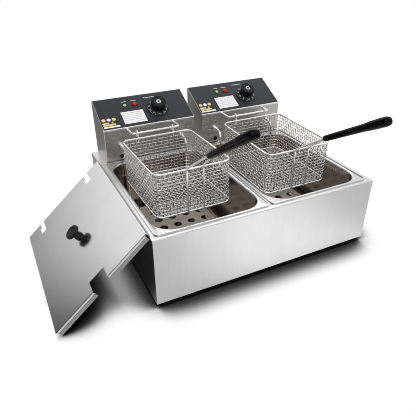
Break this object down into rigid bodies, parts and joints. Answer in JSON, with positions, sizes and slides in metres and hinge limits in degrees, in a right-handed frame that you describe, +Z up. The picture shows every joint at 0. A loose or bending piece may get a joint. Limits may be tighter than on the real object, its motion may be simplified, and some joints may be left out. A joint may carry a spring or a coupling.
{
  "type": "deep fryer",
  "caption": "Countertop deep fryer: low steel casing with side-by-side lift-out tanks, sloping control heads, hanging wire baskets and a leaning lid.",
  "frame": {"origin": "under the middle of the whole object, on the surface that it stands on", "axes": "+X across the front to the right, +Y from the front to the back, +Z up"},
  "size_m": [0.7512, 0.608, 0.4068],
  "materials": {
    "casing_steel": "fine upright brushing",
    "lid_steel": "fine brushing",
    "head_steel": "fine brushing along the width",
    "tank_steel": "drawn and polished",
    "guard_steel": "satin, perforated",
    "element_steel": "bright tube",
    "bright_wire": "plated wire",
    "mesh_wire": "plated woven wire",
    "screw_steel": "machined",
    "panel_black": "satin black print",
    "black_plastic": "satin moulded",
    "grip_plastic": "smooth dipped",
    "switch_plastic": "moulded",
    "black_rubber": "matte",
    "lamp_green": "clear lens",
    "lamp_red": "clear lens",
    "button_red": "moulded"
  },
  "bodies": {
    "casing": {"front_panel": "casing_steel", "left_side_panel": "casing_steel", "right_side_panel": "casing_steel", "rear_panel": "casing_steel", "base_plate": "casing_steel", "rear_deck": "casing_steel", "centre_bar": "casing_steel", "rubber_feet": "black_rubber", "foot_screws": "screw_steel"},
    "left_pan": {"left_tank": "tank_steel"},
    "left_head": {"left_heating_element": "element_steel", "left_element_guard": "guard_steel", "left_head_shell": "head_steel", "left_head_cover": "head_steel", "left_head_base": "head_steel", "left_control_panel": "panel_black", "left_power_lamp": "lamp_green", "left_heat_lamp": "lamp_red", "left_thermostat": "switch_plastic", "left_sensor": "element_steel", "left_sensor_grommet": "black_rubber", "left_limit_switch": "switch_plastic", "left_cable_gland": "black_plastic", "left_terminal_block": "switch_plastic", "left_basket_hanger": "bright_wire"},
    "left_dial": {"left_knob": "black_plastic", "left_knob_shaft": "screw_steel"},
    "left_reset": {"left_reset_button": "button_red"},
    "left_basket": {"left_basket_mesh": "mesh_wire", "left_basket_frame": "bright_wire", "left_basket_handle": "bright_wire", "left_basket_grip": "grip_plastic"},
    "right_pan": {"right_tank": "tank_steel"},
    "right_head": {"right_heating_element": "element_steel", "right_element_guard": "guard_steel", "right_head_shell": "head_steel", "right_head_cover": "head_steel", "right_head_base": "head_steel", "right_control_panel": "panel_black", "right_power_lamp": "lamp_green", "right_heat_lamp": "lamp_red", "right_thermostat": "switch_plastic", "right_sensor": "element_steel", "right_sensor_grommet": "black_rubber", "right_limit_switch": "switch_plastic", "right_cable_gland": "black_plastic", "right_terminal_block": "switch_plastic", "right_basket_hanger": "bright_wire"},
    "right_dial": {"right_knob": "black_plastic", "right_knob_shaft": "screw_steel"},
    "right_reset": {"right_reset_button": "button_red"},
    "right_basket": {"right_basket_mesh": "mesh_wire", "right_basket_frame": "bright_wire", "right_basket_handle": "bright_wire", "right_basket_grip": "grip_plastic"},
    "lid": {"lid_sheet": "lid_steel", "lid_knob": "black_plastic", "lid_screw": "screw_steel"}
  },
  "joints": [
    {"name": "left_tank_lift", "type": "slide", "parent": "casing", "child": "left_pan", "axis": [0, 0, 1], "range_m": [0, 0.2]},
    {"name": "left_head_lift", "type": "slide", "parent": "left_pan", "child": "left_head", "axis": [0, 0, 1], "range_m": [0, 0.2]},
    {"name": "left_basket_lift", "type": "slide", "parent": "left_head", "child": "left_basket", "axis": [0, 0, 1], "range_m": [0, 0.2]},
    {"name": "left_knob_turn", "type": "hinge", "parent": "left_head", "child": "left_dial", "pos_m": [0.00258, 0.23863, 0.27721], "axis": [0, 0.4624, -0.8867], "range_deg": [0, 280]},
    {"name": "left_reset_press", "type": "slide", "parent": "left_head", "child": "left_reset", "axis": [0, -1, 0], "range_m": [0, 0.002], "stiffness_N_per_m": 500},
    {"name": "right_tank_lift", "type": "slide", "parent": "casing", "child": "right_pan", "axis": [0, 0, 1], "range_m": [0, 0.2]},
    {"name": "right_head_lift", "type": "slide", "parent": "right_pan", "child": "right_head", "axis": [0, 0, 1], "range_m": [0, 0.2]},
    {"name": "right_basket_lift", "type": "slide", "parent": "right_head", "child": "right_basket", "axis": [0, 0, 1], "range_m": [0, 0.2]},
    {"name": "right_knob_turn", "type": "hinge", "parent": "right_head", "child": "right_dial", "pos_m": [0.26958, 0.23863, 0.27721], "axis": [0, 0.4624, -0.8867], "range_deg": [0, 280]},
    {"name": "right_reset_press", "type": "slide", "parent": "right_head", "child": "right_reset", "axis": [0, -1, 0], "range_m": [0, 0.002], "stiffness_N_per_m": 500},
    {"name": "lid_lift", "type": "slide", "parent": "casing", "child": "lid", "axis": [0, 0, 1], "range_m": [0, 0.3]}
  ]
}
